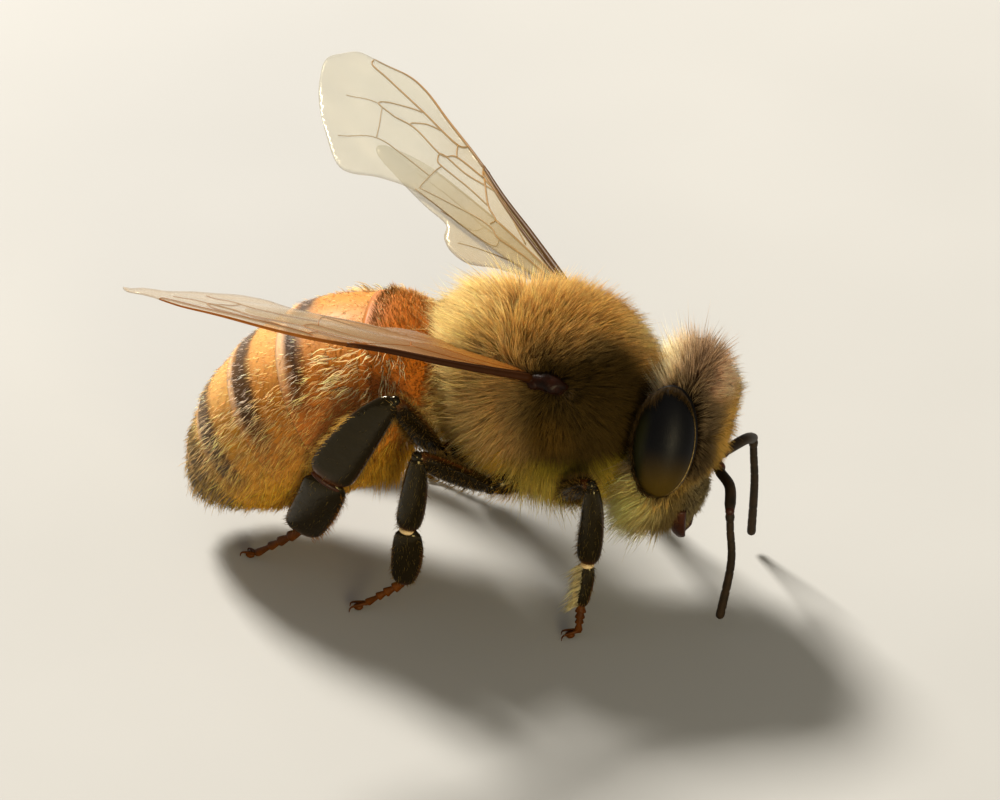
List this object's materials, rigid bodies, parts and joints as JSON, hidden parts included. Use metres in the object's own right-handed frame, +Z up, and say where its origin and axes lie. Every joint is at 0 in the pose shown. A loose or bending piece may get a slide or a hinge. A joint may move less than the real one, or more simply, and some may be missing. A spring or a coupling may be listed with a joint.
{
  "type": "honey bee",
  "caption": "Life-size still model of a worker honey bee standing with its head bent down and its wings half spread.",
  "frame": {"origin": "middle of the outline seen from above, at the level of the soles of the feet", "axes": "+Z up, the head towards -Y, the left side of the insect towards +X"},
  "size_m": [0.014, 0.012, 0.0091],
  "materials": {
    "thorax_fur": "dense golden-tan hair",
    "head_fur": "short tan and brown hair",
    "abdomen_shell": "satin amber shell with dark bands and short pale hair",
    "dark_shell": "dark brown shell",
    "leg_shell": "near-black polished shell with fine hair",
    "foot_shell": "red-brown shell",
    "mouth_shell": "red-brown shell",
    "tegula_shell": "polished dark brown shell",
    "antenna_shell": "matt near-black shell",
    "compound_eye": "glossy black facets",
    "wing_membrane": "clear amber-tinted membrane with brown veins"
  },
  "bodies": {
    "root": {"abdomen_1": "abdomen_shell", "abdomen_2": "abdomen_shell", "abdomen_3": "abdomen_shell", "abdomen_4": "abdomen_shell", "abdomen_5": "abdomen_shell", "abdomen_6": "abdomen_shell", "antenna_left_flagellum": "antenna_shell", "antenna_left_scape": "antenna_shell", "antenna_right_flagellum": "antenna_shell", "antenna_right_scape": "antenna_shell", "eye_left": "compound_eye", "eye_right": "compound_eye", "forewing_left": "wing_membrane", "forewing_right": "wing_membrane", "head": "head_fur", "hindwing_left": "wing_membrane", "hindwing_right": "wing_membrane", "leg_front_left_basitarsus": "leg_shell", "leg_front_left_coxa": "leg_shell", "leg_front_left_femur": "leg_shell", "leg_front_left_foot": "foot_shell", "leg_front_left_tibia": "leg_shell", "leg_front_right_basitarsus": "leg_shell", "leg_front_right_coxa": "leg_shell", "leg_front_right_femur": "leg_shell", "leg_front_right_foot": "foot_shell", "leg_front_right_tibia": "leg_shell", "leg_hind_left_basitarsus": "leg_shell", "leg_hind_left_coxa": "leg_shell", "leg_hind_left_femur": "leg_shell", "leg_hind_left_foot": "foot_shell", "leg_hind_left_tibia": "leg_shell", "leg_hind_right_basitarsus": "leg_shell", "leg_hind_right_coxa": "leg_shell", "leg_hind_right_femur": "leg_shell", "leg_hind_right_foot": "foot_shell", "leg_hind_right_tibia": "leg_shell", "leg_mid_left_basitarsus": "leg_shell", "leg_mid_left_coxa": "leg_shell", "leg_mid_left_femur": "leg_shell", "leg_mid_left_foot": "foot_shell", "leg_mid_left_tibia": "leg_shell", "leg_mid_right_basitarsus": "leg_shell", "leg_mid_right_coxa": "leg_shell", "leg_mid_right_femur": "leg_shell", "leg_mid_right_foot": "foot_shell", "leg_mid_right_tibia": "leg_shell", "mandible_left": "mouth_shell", "mandible_right": "mouth_shell", "neck": "dark_shell", "petiole": "dark_shell", "proboscis": "mouth_shell", "tegula_left": "tegula_shell", "tegula_right": "tegula_shell", "thorax": "thorax_fur"}
  },
  "joints": []
}
